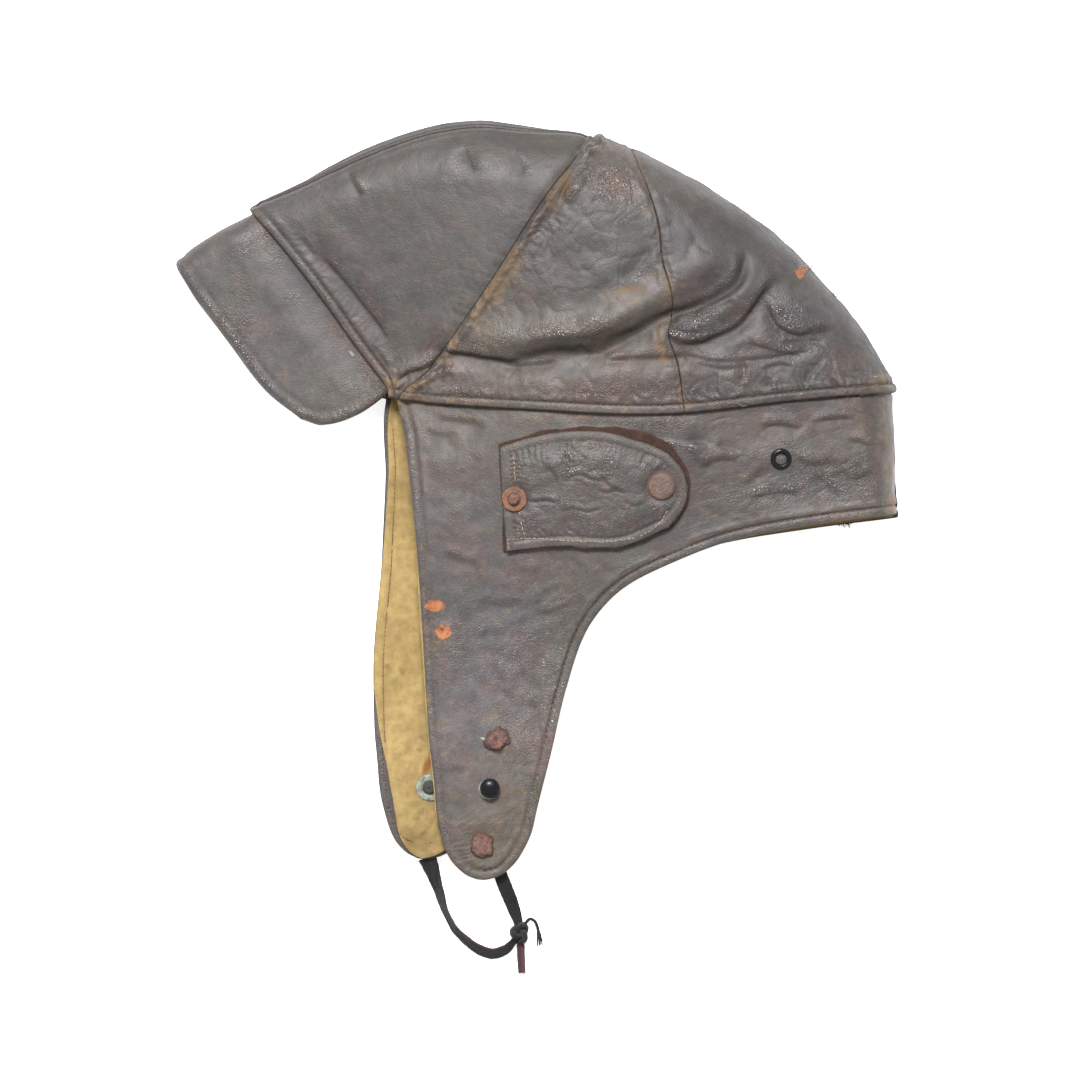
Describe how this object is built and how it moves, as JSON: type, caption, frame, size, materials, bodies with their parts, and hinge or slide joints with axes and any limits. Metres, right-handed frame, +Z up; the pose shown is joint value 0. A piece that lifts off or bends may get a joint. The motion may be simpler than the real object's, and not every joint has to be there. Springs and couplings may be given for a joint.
{
  "type": "leather flying helmet",
  "caption": "Worn leather flying helmet lying on its side, with a panelled crown, a short folded peak, long ear flaps with snapped ear covers, a cotton lining and a tied ribbon.",
  "frame": {"origin": "on the surface it lies on, under the middle of the leather's box", "axes": "+Z up from the surface, out of the wearer's left side; +Y towards the top of the crown; +X towards the back of the neck, so the peak points to -X"},
  "size_m": [0.295, 0.3507, 0.0444],
  "materials": {
    "leather": "old brown leather, darkened and dry, with a low shine on the raised grain",
    "lining": "ochre cotton twill, stained",
    "rusted_metal": "rusted and dull",
    "black_enamel": "glossy black enamel, chipped",
    "tarnished_brass": "tarnished green grey",
    "ribbon": "black cotton tape, faded to brown at its end"
  },
  "bodies": {
    "root": {"crown_front_left": "leather", "crown_front_right": "leather", "crown_middle_left": "leather", "crown_middle_right": "leather", "crown_rear_left": "leather", "crown_rear_right": "leather", "peak": "leather", "neck_band_left": "leather", "neck_band_right": "leather", "lining_left": "lining", "lining_right": "lining", "ear_cover_base_left": "leather", "ear_cover_base_right": "leather", "ear_cover_left": "leather", "ear_cover_right": "leather", "cover_snap_cap_left": "rusted_metal", "cover_snap_cap_right": "rusted_metal", "cover_snap_stud_left": "rusted_metal", "cover_snap_stud_right": "rusted_metal", "goggle_stud_left": "black_enamel", "goggle_stud_right": "black_enamel", "upper_rivet_left": "rusted_metal", "upper_rivet_right": "rusted_metal", "chin_stud_left": "black_enamel", "chin_stud_right": "black_enamel", "lower_rivet_left": "rusted_metal", "lower_rivet_right": "rusted_metal", "chin_washer_left": "tarnished_brass", "chin_washer_right": "tarnished_brass", "ribbon_right": "ribbon", "ribbon_right_tail": "ribbon", "ribbon_left": "ribbon", "ribbon_left_tail": "ribbon", "ribbon_knot": "ribbon"}
  },
  "joints": []
}
